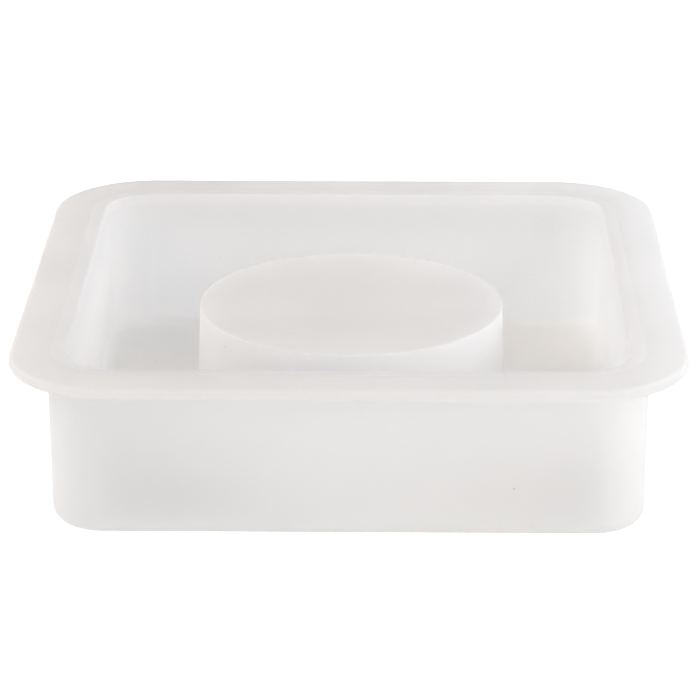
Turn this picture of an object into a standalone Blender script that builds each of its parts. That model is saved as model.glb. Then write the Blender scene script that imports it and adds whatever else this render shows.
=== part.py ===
"""Silicone casting mould: a square tray with a flat flange round its mouth, and a round core that stands in it.

Metres, +Z up. The origin is the middle of the tray's underside, which is the face that the mould stands on.
The tray is one moulding. The core is a second one: it stands in a shallow seat in the tray's floor, where its
own weight holds it, and it lifts straight up along Z.
"""

import math

import bmesh
import bpy

# Tray, outside
FLANGE_WIDTH = 0.168
HEIGHT = 0.0425
FLANGE_THICKNESS = 0.003
FLANGE_CORNER_RADIUS = 0.0268
FLANGE_EDGE_RADIUS = 0.0011
WALL_WIDTH_TOP = 0.1484
WALL_WIDTH_BOTTOM = 0.1480
WALL_CORNER_RADIUS = 0.0134  # at the bottom; draft widens it upwards
UNDER_FLANGE_RADIUS = 0.0008  # where the wall meets the flange's underside
BOTTOM_EDGE_RADIUS = 0.0035

# Tray, inside
CAVITY_WIDTH_TOP = 0.1400
CAVITY_WIDTH_BOTTOM = 0.1396
CAVITY_CORNER_RADIUS = 0.014  # at the mouth; draft narrows it downwards
LIP_RADIUS = 0.0005
FLOOR_THICKNESS = 0.0036
FLOOR_EDGE_RADIUS = 0.005

# Core, and its seat in the tray's floor
CORE_TOP_DIAMETER = 0.0801
CORE_FOOT_DIAMETER = 0.0826
CORE_TOP_HEIGHT = 0.0350  # above the table
CORE_TOP_EDGE_RADIUS = 0.0003
CORE_FOOT_EDGE_RADIUS = 0.0004
SEAT_DEPTH = 0.0012
CLEARANCE = 0.0003  # round the core's foot and under it

# Fineness
CORNER_STEPS = 10
ROUNDING_STEPS = 4
CORE_STEPS = 96

TRAY_COLOUR = (0.90, 0.90, 0.89, 1.0)
CORE_COLOUR = (0.89, 0.88, 0.86, 1.0)


def clear_scene():
    for obj in list(bpy.data.objects):
        bpy.data.objects.remove(obj)


def silicone(name, colour):
    """Milky, slightly matt silicone rubber."""
    material = bpy.data.materials.new(name)
    material.use_nodes = True
    shader = material.node_tree.nodes["Principled BSDF"]
    shader.inputs["Base Color"].default_value = colour
    shader.inputs["Roughness"].default_value = 0.42
    shader.inputs["Metallic"].default_value = 0.0
    shader.inputs["IOR"].default_value = 1.41
    shader.inputs["Subsurface Weight"].default_value = 0.6
    shader.inputs["Subsurface Scale"].default_value = 0.006
    return material


def quarter_arc(reach, height, radius, start, end):
    """Points (reach, height) along a rounding about that centre, from one angle to the other, in degrees."""
    angles = [math.radians(start + (end - start) * k / ROUNDING_STEPS) for k in range(ROUNDING_STEPS + 1)]
    return [(reach + radius * math.cos(a), height + radius * math.sin(a)) for a in angles]


def rounded_square(half_width, corner_centre, height):
    """A level ring. corner_centre is how far the centres of its corner arcs lie from the two middle planes."""
    ring = []
    radius = half_width - corner_centre
    for quadrant, (side_x, side_y) in enumerate(((1, 1), (-1, 1), (-1, -1), (1, -1))):
        for k in range(CORNER_STEPS + 1):
            angle = math.radians(90) * (quadrant + k / CORNER_STEPS)
            ring.append(
                (
                    side_x * corner_centre + radius * math.cos(angle),
                    side_y * corner_centre + radius * math.sin(angle),
                    height,
                )
            )
    return ring


def tray_section():
    """The tray's section as (half width, corner centre, height), from the underside up the outside and back in."""
    wall_centre = WALL_WIDTH_BOTTOM / 2 - WALL_CORNER_RADIUS
    flange_centre = FLANGE_WIDTH / 2 - FLANGE_CORNER_RADIUS
    cavity_centre = CAVITY_WIDTH_TOP / 2 - CAVITY_CORNER_RADIUS
    under_flange = HEIGHT - FLANGE_THICKNESS
    flange_edge = FLANGE_WIDTH / 2 - FLANGE_EDGE_RADIUS

    bottom_edge = quarter_arc(
        WALL_WIDTH_BOTTOM / 2 - BOTTOM_EDGE_RADIUS, BOTTOM_EDGE_RADIUS, BOTTOM_EDGE_RADIUS, -90, 0
    )
    wall_top = quarter_arc(
        WALL_WIDTH_TOP / 2 + UNDER_FLANGE_RADIUS,
        under_flange - UNDER_FLANGE_RADIUS,
        UNDER_FLANGE_RADIUS,
        180,
        90,
    )
    flange_rim = quarter_arc(flange_edge, under_flange + FLANGE_EDGE_RADIUS, FLANGE_EDGE_RADIUS, -90, 0)
    flange_rim += quarter_arc(flange_edge, HEIGHT - FLANGE_EDGE_RADIUS, FLANGE_EDGE_RADIUS, 0, 90)
    lip = quarter_arc(CAVITY_WIDTH_TOP / 2 + LIP_RADIUS, HEIGHT - LIP_RADIUS, LIP_RADIUS, 90, 180)
    floor_edge = quarter_arc(
        CAVITY_WIDTH_BOTTOM / 2 - FLOOR_EDGE_RADIUS,
        FLOOR_THICKNESS + FLOOR_EDGE_RADIUS,
        FLOOR_EDGE_RADIUS,
        0,
        -90,
    )

    section = [(reach, wall_centre, height) for reach, height in bottom_edge + wall_top]
    section += [(reach, flange_centre, height) for reach, height in flange_rim]
    section += [(reach, cavity_centre, height) for reach, height in lip + floor_edge]
    return section


def loft(name, rings):
    """One closed body through level rings of equal length, with the first and last ring filled."""
    shape = bmesh.new()
    loops = [[shape.verts.new(point) for point in ring] for ring in rings]
    for lower, upper in zip(loops, loops[1:]):
        for k in range(len(lower)):
            after = (k + 1) % len(lower)
            shape.faces.new((lower[k], lower[after], upper[after], upper[k]))
    shape.faces.new(reversed(loops[0]))
    shape.faces.new(loops[-1])
    bmesh.ops.recalc_face_normals(shape, faces=shape.faces)
    mesh = bpy.data.meshes.new(name)
    shape.to_mesh(mesh)
    shape.free()
    return mesh


def add_object(name, mesh, material=None, height=0.0):
    obj = bpy.data.objects.new(name, mesh)
    obj.location.z = height
    bpy.context.scene.collection.objects.link(obj)
    if material:
        mesh.materials.append(material)
        mesh.shade_smooth()
        mesh.set_sharp_from_angle(angle=math.radians(35))
    return obj


def circle(radius, height):
    angles = [2 * math.pi * k / CORE_STEPS for k in range(CORE_STEPS)]
    return [(radius * math.cos(a), radius * math.sin(a), height) for a in angles]


def make_tray():
    rings = [rounded_square(*level) for level in tray_section()]
    tray = add_object("mould_tray", loft("mould_tray", rings), silicone("tray_silicone", TRAY_COLOUR))

    seat_radius = CORE_FOOT_DIAMETER / 2 + CLEARANCE
    seat_floor = FLOOR_THICKNESS - SEAT_DEPTH
    cutter_rings = [circle(seat_radius, seat_floor), circle(seat_radius, HEIGHT)]
    cutter = add_object("core_seat_cutter", loft("core_seat_cutter", cutter_rings))
    cutter.hide_render = True
    cutter.display_type = "WIRE"
    cut = tray.modifiers.new("core seat", "BOOLEAN")
    cut.operation = "DIFFERENCE"
    cut.object = cutter
    return tray


def make_core():
    """The core about its own foot: its origin is on the axis that it lifts along."""
    foot_height = FLOOR_THICKNESS - SEAT_DEPTH + CLEARANCE
    top = CORE_TOP_HEIGHT - foot_height
    foot_edge = quarter_arc(
        CORE_FOOT_DIAMETER / 2 - CORE_FOOT_EDGE_RADIUS, CORE_FOOT_EDGE_RADIUS, CORE_FOOT_EDGE_RADIUS, -90, 0
    )
    top_edge = quarter_arc(
        CORE_TOP_DIAMETER / 2 - CORE_TOP_EDGE_RADIUS, top - CORE_TOP_EDGE_RADIUS, CORE_TOP_EDGE_RADIUS, 0, 90
    )
    rings = [circle(radius, height) for radius, height in foot_edge + top_edge]
    return add_object(
        "round_core", loft("round_core", rings), silicone("core_silicone", CORE_COLOUR), foot_height
    )


clear_scene()
make_tray()
make_core()
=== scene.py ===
"""Looks of the silicone casting mould: the tray and its round core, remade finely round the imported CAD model.

Metres, +Z up, in the CAD's frame. The camera looks along +Y, a little down into the mould.
"""

import math

import bmesh
import bpy
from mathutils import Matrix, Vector


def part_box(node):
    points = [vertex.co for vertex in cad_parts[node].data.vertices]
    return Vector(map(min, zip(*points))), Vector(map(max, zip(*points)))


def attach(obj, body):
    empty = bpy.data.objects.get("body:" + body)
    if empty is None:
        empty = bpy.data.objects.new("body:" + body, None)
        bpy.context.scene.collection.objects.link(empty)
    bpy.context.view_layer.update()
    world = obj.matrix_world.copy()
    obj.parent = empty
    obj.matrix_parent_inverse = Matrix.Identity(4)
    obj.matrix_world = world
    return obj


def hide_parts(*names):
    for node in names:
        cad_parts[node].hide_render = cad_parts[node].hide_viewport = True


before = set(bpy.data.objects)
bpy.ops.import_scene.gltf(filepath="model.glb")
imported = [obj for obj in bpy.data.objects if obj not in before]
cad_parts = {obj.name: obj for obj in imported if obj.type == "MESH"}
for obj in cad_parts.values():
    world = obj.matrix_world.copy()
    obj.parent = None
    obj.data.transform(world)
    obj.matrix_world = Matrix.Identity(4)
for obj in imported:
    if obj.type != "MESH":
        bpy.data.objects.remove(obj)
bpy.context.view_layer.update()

# ---- Sizes: the outer ones come from the CAD nodes, the rest repeat the design's driving dimensions ----

TRAY_LOW, TRAY_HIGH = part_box("mould_tray")
CORE_LOW, CORE_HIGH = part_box("round_core")

HEIGHT = TRAY_HIGH.z
FLANGE_HALF = TRAY_HIGH.x
FLANGE_THICKNESS = 0.003
FLANGE_CORNER_RADIUS = 0.0268
FLANGE_EDGE_RADIUS = 0.0011
WALL_HALF_TOP = 0.0742
WALL_HALF_BOTTOM = 0.0740
WALL_CORNER_RADIUS = 0.0134
UNDER_FLANGE_RADIUS = 0.0008
BOTTOM_EDGE_RADIUS = 0.0035

CAVITY_HALF_TOP = 0.0700
CAVITY_HALF_BOTTOM = 0.0698
CAVITY_CORNER_RADIUS = 0.014
LIP_RADIUS = 0.0005
FLOOR_THICKNESS = 0.0036
FLOOR_EDGE_RADIUS = 0.005
SEAT_DEPTH = 0.0012
SEAT_CLEARANCE = 0.0003

CORE_FOOT_RADIUS = CORE_HIGH.x
CORE_TOP_RADIUS = 0.04005
CORE_TOP_EDGE_RADIUS = 0.0003
CORE_FOOT_EDGE_RADIUS = 0.0004

CORNER_STEPS = 28
SIDE_STEPS = 16
ROUNDING_STEPS = 8
CORE_STEPS = 192
SHARP_ANGLE = 50  # degrees between faces: above it an edge is shaded as an edge
FLATS_WEIGHT = 100  # how far the shading of a vertex follows its largest faces

# ---- Camera ----

CAMERA_AIM = Vector((-0.00036, 0.0, 0.02141))
CAMERA_DISTANCE = 0.8186
CAMERA_ELEVATION = 20.62  # degrees above the horizon
CAMERA_AZIMUTH = 0.74  # degrees towards +X from the front
CAMERA_LENS = 157.73
CAMERA_SENSOR = 36.0
CAMERA_CLIP = (0.01, 50.0)

# ---- Silicone: an albedo and a mean scattering length for each piece, then what lies on both ----

TRAY_COLOUR = (0.975, 0.975, 0.975)
TRAY_SCATTER = 0.028
CORE_COLOUR = (0.985, 0.98, 0.968)
CORE_SCATTER = 0.005
PAINTED_LIGHT_BAND_WIDTH = 0.0036  # the band round the mouth that has the wall under it, painted whiter as painted light for light the wall carries up
FLANGE_PAINTED_SHADE = (0.93, 0.93, 0.93, 1.0)  # painted shade: the flange outside that band is thin and lets light through, so it is painted greyer
BAND_BLUR = 0.0003

CLOUD_SIZE = 0.018  # faint mottling
CLOUD_DETAIL = 3.0
CLOUD_LEVELS = (0.35, 0.65)  # of the noise, where the mottling is darkest and where it is gone
CLOUD_SHADE = 0.985
SKIN_IOR = 1.41
SKIN_ROUGHNESS = (0.4, 0.55)
SMEAR_SIZE = 0.025
SMEAR_LEVELS = (0.3, 0.7)  # of the noise, where the skin is glossiest and where it is dullest
GRAIN_SIZE = 0.0005
GRAIN_DEPTH = 0.000012
WAVE_SIZE = 0.011
WAVE_DEPTH = 0.00012
DUST_COLOUR = (0.45, 0.42, 0.38, 1.0)
DUST_SPACING = 0.0056
DUST_RADIUS = 0.00035
DUST_SHARE = 0.35
DUST_STRENGTH = 0.45
DUST_WOBBLE = 0.0004  # makes the specks ragged and unlike each other
DUST_WOBBLE_SIZE = 0.00045
PIT_SPACING = 0.005
PIT_RADIUS = 0.0003
PIT_SHARE = 0.3
PIT_DEPTH = 0.00015

# ---- Studio ----

FLOOR_GLOW = 0.435  # as a lamp for the object
FLOOR_SEEN_GLOW = 0.95  # as the backdrop in the picture
FLOOR_COLOUR = (0.5, 0.5, 0.5)
FLOOR_GLOW_COLOUR = (1.0, 0.97, 0.935, 1.0)
FLOOR_ROUGHNESS = 0.9
FLOOR_HALF = 6.0
FLOOR_HEIGHT = -0.00005  # just under the tray, so the two don't fight for the same pixels

# name, azimuth and elevation in degrees, distance, side, watts, colour
LIGHTS = (
    ("front", 0, 25, 1.8, 1.2, 8.2, (0.97, 1.01, 1.05)),
    ("top", 0, 88, 1.6, 1.0, 2.2, (1.16, 0.99, 0.86)),
    ("left", -85, 42, 0.9, 0.5, 3.0, (1.1, 1.0, 0.92)),
    ("left_low", -90, 8, 0.9, 0.35, 1.07, (0.93, 1.01, 1.08)),
    ("left_back", -140, 25, 1.5, 0.8, 4.7, (0.98, 1.0, 1.05)),
    ("right", 90, 30, 0.45, 0.2, 0.33, (0.91, 1.0, 1.12)),
    ("right_front", 50, 14, 0.8, 0.35, 0.77, (1.01, 1.0, 1.0)),
    ("right_front_high", 55, 30, 0.6, 0.25, 0.5, (1.06, 1.01, 0.95)),
    ("right_back", 140, 40, 0.6, 0.3, 0.91, (1.05, 1.0, 0.98)),
    ("right_back_mid", 122, 18, 0.6, 0.28, 0.45, (0.85, 1.01, 1.16)),
)


# ---- Mesh helpers ----


def quarter_arc(reach, height, radius, start, end):
    """Points (reach, height) of a rounding about that centre, from one angle to the other in degrees."""
    turn = end - start
    angles = [math.radians(start + turn * k / ROUNDING_STEPS) for k in range(ROUNDING_STEPS + 1)]
    return [(reach + radius * math.cos(a), height + radius * math.sin(a)) for a in angles]


def rounded_square(half_width, corner_centre, height):
    """A level ring. corner_centre: how far the centres of its corner arcs lie from the two middle planes."""
    ring = []
    radius = half_width - corner_centre
    for quadrant, (side_x, side_y) in enumerate(((1, 1), (-1, 1), (-1, -1), (1, -1))):
        centre = Vector((side_x * corner_centre, side_y * corner_centre, height))
        for k in range(CORNER_STEPS + 1):
            angle = math.radians(90) * (quadrant + k / CORNER_STEPS)
            ring.append(centre + radius * Vector((math.cos(angle), math.sin(angle), 0)))
        if quadrant % 2 == 0:
            along = Vector((-side_x * 2 * corner_centre, 0, 0))
        else:
            along = Vector((0, -side_y * 2 * corner_centre, 0))
        start = ring[-1]
        ring += [start + along * k / SIDE_STEPS for k in range(1, SIDE_STEPS)]
    return ring


def circle_under(ring, radius, height):
    """A circle with a point in the direction of each of the ring's points, so that the two can be bridged."""
    directions = [Vector((p.x, p.y)).normalized() for p in ring]
    return [Vector((d.x * radius, d.y * radius, height)) for d in directions]


def circle(radius, height):
    angles = [2 * math.pi * k / CORE_STEPS for k in range(CORE_STEPS)]
    return [Vector((radius * math.cos(a), radius * math.sin(a), height)) for a in angles]


def loft(name, rings):
    """One closed body through rings of equal length, with the first and last ring filled, shaded smooth."""
    shape = bmesh.new()
    loops = [[shape.verts.new(point) for point in ring] for ring in rings]
    for lower, upper in zip(loops, loops[1:]):
        for k in range(len(lower)):
            after = (k + 1) % len(lower)
            shape.faces.new((lower[k], lower[after], upper[after], upper[k]))
    shape.faces.new(reversed(loops[0]))
    shape.faces.new(loops[-1])
    bmesh.ops.recalc_face_normals(shape, faces=shape.faces)
    mesh = bpy.data.meshes.new(name)
    shape.to_mesh(mesh)
    shape.free()
    mesh.shade_smooth()
    mesh.set_sharp_from_angle(angle=math.radians(SHARP_ANGLE))
    piece = bpy.data.objects.new(name, mesh)
    bpy.context.scene.collection.objects.link(piece)
    keep_flats = piece.modifiers.new("keep flats flat", "WEIGHTED_NORMAL")
    keep_flats.keep_sharp = True
    keep_flats.weight = FLATS_WEIGHT
    return piece


# ---- Pieces ----


def make_tray():
    wall_centre = WALL_HALF_BOTTOM - WALL_CORNER_RADIUS
    flange_centre = FLANGE_HALF - FLANGE_CORNER_RADIUS
    cavity_centre = CAVITY_HALF_TOP - CAVITY_CORNER_RADIUS
    under_flange = HEIGHT - FLANGE_THICKNESS
    flange_edge = FLANGE_HALF - FLANGE_EDGE_RADIUS

    outside = quarter_arc(
        WALL_HALF_BOTTOM - BOTTOM_EDGE_RADIUS, BOTTOM_EDGE_RADIUS, BOTTOM_EDGE_RADIUS, -90, 0
    )
    outside += quarter_arc(
        WALL_HALF_TOP + UNDER_FLANGE_RADIUS,
        under_flange - UNDER_FLANGE_RADIUS,
        UNDER_FLANGE_RADIUS,
        180,
        90,
    )
    rim = quarter_arc(flange_edge, under_flange + FLANGE_EDGE_RADIUS, FLANGE_EDGE_RADIUS, -90, 0)
    rim += quarter_arc(flange_edge, HEIGHT - FLANGE_EDGE_RADIUS, FLANGE_EDGE_RADIUS, 0, 90)
    inside = quarter_arc(CAVITY_HALF_TOP + LIP_RADIUS, HEIGHT - LIP_RADIUS, LIP_RADIUS, 90, 180)
    inside += quarter_arc(
        CAVITY_HALF_BOTTOM - FLOOR_EDGE_RADIUS,
        FLOOR_THICKNESS + FLOOR_EDGE_RADIUS,
        FLOOR_EDGE_RADIUS,
        0,
        -90,
    )
    zones = ((outside, wall_centre), (rim, flange_centre), (inside, cavity_centre))
    rings = []
    for section, centre in zones:
        rings += [rounded_square(reach, centre, height) for reach, height in section]

    seat_radius = CORE_FOOT_RADIUS + SEAT_CLEARANCE
    seat_floor = FLOOR_THICKNESS - SEAT_DEPTH
    rings.append(circle_under(rings[-1], seat_radius, FLOOR_THICKNESS))
    rings.append(circle_under(rings[-1], seat_radius, seat_floor))
    return loft("tray_silicone", rings)


def make_core():
    foot, top = CORE_LOW.z, CORE_HIGH.z
    section = quarter_arc(
        CORE_FOOT_RADIUS - CORE_FOOT_EDGE_RADIUS, foot + CORE_FOOT_EDGE_RADIUS, CORE_FOOT_EDGE_RADIUS, -90, 0
    )
    section += quarter_arc(
        CORE_TOP_RADIUS - CORE_TOP_EDGE_RADIUS, top - CORE_TOP_EDGE_RADIUS, CORE_TOP_EDGE_RADIUS, 0, 90
    )
    return loft("core_silicone", [circle(radius, height) for radius, height in section])


# ---- Materials ----


class Nodes:
    """Short calls that add nodes to one material and link them up."""

    def __init__(self, name):
        self.material = bpy.data.materials.new(name)
        self.material.use_nodes = True
        self.tree = self.material.node_tree
        self.shader = self.tree.nodes["Principled BSDF"]

    def add(self, kind, inputs, **settings):
        node = self.tree.nodes.new(kind)
        for setting, value in settings.items():
            setattr(node, setting, value)
        for key, value in inputs.items():
            self.plug(value, node.inputs[key])
        return node

    def plug(self, value, socket):
        """Set a socket to a constant, or link an output to it."""
        if isinstance(value, bpy.types.NodeSocket):
            self.tree.links.new(value, socket)
        else:
            socket.default_value = value

    def math(self, operation, first, second):
        return self.add("ShaderNodeMath", {0: first, 1: second}, operation=operation).outputs[0]

    def vector(self, operation, first, second=(0.0, 0.0, 0.0)):
        node = self.add("ShaderNodeVectorMath", {0: first, 1: second}, operation=operation)
        return node.outputs["Value" if operation == "LENGTH" else "Vector"]

    def slope(self, value, start, end, low=0.0, high=1.0):
        """Eases from low to high while the value goes from start to end, and holds outside them."""
        inputs = {"Value": value, "From Min": start, "From Max": end, "To Min": low, "To Max": high}
        node = self.add("ShaderNodeMapRange", inputs, interpolation_type="SMOOTHSTEP")
        return node.outputs["Result"]

    def noise(self, place, size, detail=2.0):
        """Soft noise about 0.5 whose lumps are this many metres across."""
        inputs = {"Vector": place, "Scale": 1 / size, "Detail": detail}
        return self.add("ShaderNodeTexNoise", inputs).outputs[0]

    def mix(self, factor, first, second, blend="MIX"):
        node = self.add("ShaderNodeMix", {}, data_type="RGBA", blend_type=blend)
        for socket, value in zip((node.inputs[0], node.inputs[6], node.inputs[7]), (factor, first, second)):
            self.plug(value, socket)
        return node.outputs[2]

    def bump(self, height, depth, under=None):
        inputs = {"Height": height, "Distance": depth, "Strength": 1.0}
        if under:
            inputs["Normal"] = under
        return self.add("ShaderNodeBump", inputs).outputs[0]

    def specks(self, place, spacing, radius, share):
        """1 on small round dots. Of the cells of this spacing, this share holds one, of up to this radius."""
        inputs = {"Vector": place, "Scale": 1 / spacing, "Randomness": 1.0}
        cells = self.add("ShaderNodeTexVoronoi", inputs)
        chance = self.add("ShaderNodeSeparateColor", {0: cells.outputs["Color"]})
        here = self.math("LESS_THAN", chance.outputs[0], share)
        size = self.math("MULTIPLY", chance.outputs[1], radius / spacing)
        dot = self.math("LESS_THAN", cells.outputs["Distance"], size)
        return self.math("MULTIPLY", here, dot)


def silicone(name, colour, scatter_length):
    """Milky silicone rubber with a satin skin. Returns its nodes, and the place that its textures read."""
    nodes = Nodes(name)
    place = nodes.add("ShaderNodeTexCoord", {}).outputs["Object"]

    cloud = nodes.slope(nodes.noise(place, CLOUD_SIZE, CLOUD_DETAIL), *CLOUD_LEVELS)
    tint = nodes.mix(cloud, (*(c * CLOUD_SHADE for c in colour), 1.0), (*colour, 1.0))
    wobble_noise = nodes.add("ShaderNodeTexNoise", {"Vector": place, "Scale": 1 / DUST_WOBBLE_SIZE})
    wobble = nodes.vector("MULTIPLY", wobble_noise.outputs["Color"], (DUST_WOBBLE,) * 3)
    ragged_place = nodes.vector("ADD", place, wobble)
    dust = nodes.specks(ragged_place, DUST_SPACING, DUST_RADIUS, DUST_SHARE)
    tint = nodes.mix(nodes.math("MULTIPLY", dust, DUST_STRENGTH), tint, DUST_COLOUR)

    grain = nodes.noise(place, GRAIN_SIZE)
    waves = nodes.noise(place, WAVE_SIZE)
    pits = nodes.specks(place, PIT_SPACING, PIT_RADIUS, PIT_SHARE)
    relief = nodes.bump(waves, WAVE_DEPTH)
    relief = nodes.bump(grain, GRAIN_DEPTH, relief)
    relief = nodes.bump(nodes.math("SUBTRACT", dust, pits), PIT_DEPTH, relief)

    shader = nodes.shader
    roughness = nodes.slope(nodes.noise(place, SMEAR_SIZE), *SMEAR_LEVELS, *SKIN_ROUGHNESS)
    nodes.plug(tint, shader.inputs["Base Color"])
    nodes.plug(roughness, shader.inputs["Roughness"])
    nodes.plug(relief, shader.inputs["Normal"])
    shader.inputs["IOR"].default_value = SKIN_IOR
    shader.inputs["Subsurface Weight"].default_value = 1.0
    shader.inputs["Subsurface Radius"].default_value = (1.0, 1.0, 1.0)
    shader.inputs["Subsurface Scale"].default_value = scatter_length
    return nodes, place


def tray_silicone():
    """The tray's silicone: whitest in a band round the mouth, over the wall, as painted light, and greyer on
    the flange, as painted shade.
    """
    nodes, place = silicone("tray_silicone", TRAY_COLOUR, TRAY_SCATTER)
    corner_centre = CAVITY_HALF_TOP - CAVITY_CORNER_RADIUS
    middle = Vector((corner_centre, corner_centre, 1.0))
    past_middle = nodes.vector("SUBTRACT", nodes.vector("ABSOLUTE", place), middle)
    outwards = nodes.vector("LENGTH", nodes.vector("MAXIMUM", past_middle))
    rim_outside = CAVITY_CORNER_RADIUS + PAINTED_LIGHT_BAND_WIDTH
    over_wall = nodes.slope(outwards, rim_outside - BAND_BLUR, rim_outside + BAND_BLUR, 1.0, 0.0)
    height = nodes.add("ShaderNodeSeparateXYZ", {0: place}).outputs["Z"]
    flange_underside = HEIGHT - FLANGE_THICKNESS
    at_flange = nodes.slope(height, flange_underside - BAND_BLUR, flange_underside + BAND_BLUR)
    rim = nodes.math("MULTIPLY", over_wall, at_flange)
    flange = nodes.math("SUBTRACT", at_flange, rim)
    shader = nodes.shader
    body = shader.inputs["Base Color"].links[0].from_socket
    # painted light: the band over the wall is lifted to white, standing in for light carried up through the
    # wall
    rim_painted_light = nodes.mix(rim, body, (*TRAY_COLOUR, 1.0), "DIVIDE")
    # painted shade: the flange outside the band is made greyer
    nodes.plug(nodes.mix(flange, rim_painted_light, FLANGE_PAINTED_SHADE, "MULTIPLY"), shader.inputs["Base Color"])
    return nodes.material


def core_silicone():
    nodes, _ = silicone("core_silicone", CORE_COLOUR, CORE_SCATTER)
    return nodes.material


# ---- Studio ----


def direction(azimuth, elevation):
    """Unit vector from the object: azimuth 0 is the front (-Y) and 90 is +X."""
    a, e = math.radians(azimuth), math.radians(elevation)
    return Vector((math.sin(a) * math.cos(e), -math.cos(a) * math.cos(e), math.sin(e)))


def make_camera():
    data = bpy.data.cameras.new("camera")
    data.lens = CAMERA_LENS
    data.sensor_width = CAMERA_SENSOR
    data.clip_start, data.clip_end = CAMERA_CLIP
    camera = bpy.data.objects.new("camera", data)
    back = direction(CAMERA_AZIMUTH, CAMERA_ELEVATION)
    camera.location = CAMERA_AIM + back * CAMERA_DISTANCE
    camera.rotation_mode = "QUATERNION"
    camera.rotation_quaternion = (-back).to_track_quat("-Z", "Y")
    bpy.context.scene.collection.objects.link(camera)
    bpy.context.scene.camera = camera


def make_floor():
    mesh = bpy.data.meshes.new("floor")
    sides = [(-1, -1), (1, -1), (1, 1), (-1, 1)]
    corners = [(x * FLOOR_HALF, y * FLOOR_HALF, FLOOR_HEIGHT) for x, y in sides]
    mesh.from_pydata(corners, [], [(0, 1, 2, 3)])
    floor = bpy.data.objects.new("floor", mesh)
    bpy.context.scene.collection.objects.link(floor)
    nodes = Nodes("floor_white")
    seen = nodes.add("ShaderNodeLightPath", {}).outputs["Is Camera Ray"]
    glow_inputs = {"Value": seen, "To Min": FLOOR_GLOW, "To Max": FLOOR_SEEN_GLOW}
    glow = nodes.add("ShaderNodeMapRange", glow_inputs).outputs["Result"]
    nodes.plug((*FLOOR_COLOUR, 1.0), nodes.shader.inputs["Base Color"])
    nodes.shader.inputs["Roughness"].default_value = FLOOR_ROUGHNESS
    nodes.shader.inputs["Specular IOR Level"].default_value = 0.0
    nodes.shader.inputs["Emission Color"].default_value = FLOOR_GLOW_COLOUR
    nodes.plug(glow, nodes.shader.inputs["Emission Strength"])
    mesh.materials.append(nodes.material)


def make_lights():
    """A black sky: all light comes from the area lights and from the floor's glow."""
    world = bpy.data.worlds.new("studio")
    bpy.context.scene.world = world
    world.use_nodes = True
    world.node_tree.nodes["Background"].inputs["Strength"].default_value = 0.0
    for name, azimuth, elevation, distance, side, watts, colour in LIGHTS:
        data = bpy.data.lights.new(name, "AREA")
        data.shape = "SQUARE"
        data.size = side
        data.energy = watts
        data.color = colour
        light = bpy.data.objects.new(name, data)
        towards = direction(azimuth, elevation)
        light.location = towards * distance
        light.rotation_mode = "QUATERNION"
        light.rotation_quaternion = towards.to_track_quat("Z", "Y")
        light.visible_camera = False
        bpy.context.scene.collection.objects.link(light)


# ---- Scene ----

bpy.context.scene.view_settings.view_transform = "Standard"
make_camera()
make_floor()
make_lights()

tray = make_tray()
core = make_core()
tray.data.materials.append(tray_silicone())
core.data.materials.append(core_silicone())
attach(tray, "tray")
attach(core, "core")
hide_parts("mould_tray")
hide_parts("round_core")
